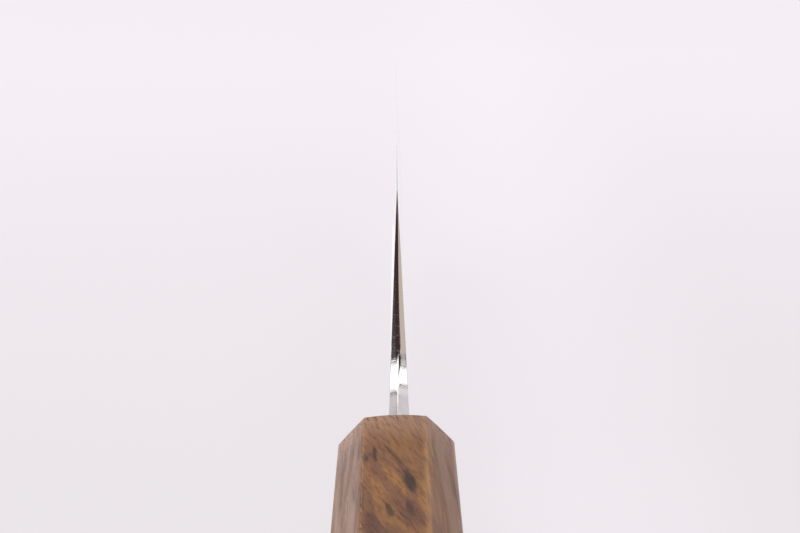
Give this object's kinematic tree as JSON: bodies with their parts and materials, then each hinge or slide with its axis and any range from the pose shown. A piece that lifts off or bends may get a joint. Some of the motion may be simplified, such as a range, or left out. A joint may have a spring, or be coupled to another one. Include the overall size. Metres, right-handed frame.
{
  "type": "bunka knife",
  "caption": "Kitchen knife with a laminated, angle-tipped blade, a stick tang bedded in resin and a tapered octagonal wooden handle.",
  "frame": {"origin": "on the plane of the handle's spine-side flat, under the middle of the whole length, in the blade's middle plane", "axes": "+X from the butt to the tip, +Y to the left seen from behind the handle with the edge up, +Z from the spine to the edge"},
  "size_m": [0.324, 0.02, 0.052],
  "materials": {
    "core_steel": "bright ground hard steel along the edge and polished on spine, choil and neck",
    "cladding_steel": "hazy satin soft steel, polished on spine, choil and neck",
    "handle_wood": "oiled brown hardwood, satin",
    "bedding_resin": "dark set resin, matt"
  },
  "bodies": {
    "root": {"core_steel": "core_steel", "left_cladding": "cladding_steel", "right_cladding": "cladding_steel", "handle": "handle_wood", "tang_resin": "bedding_resin"}
  },
  "joints": []
}
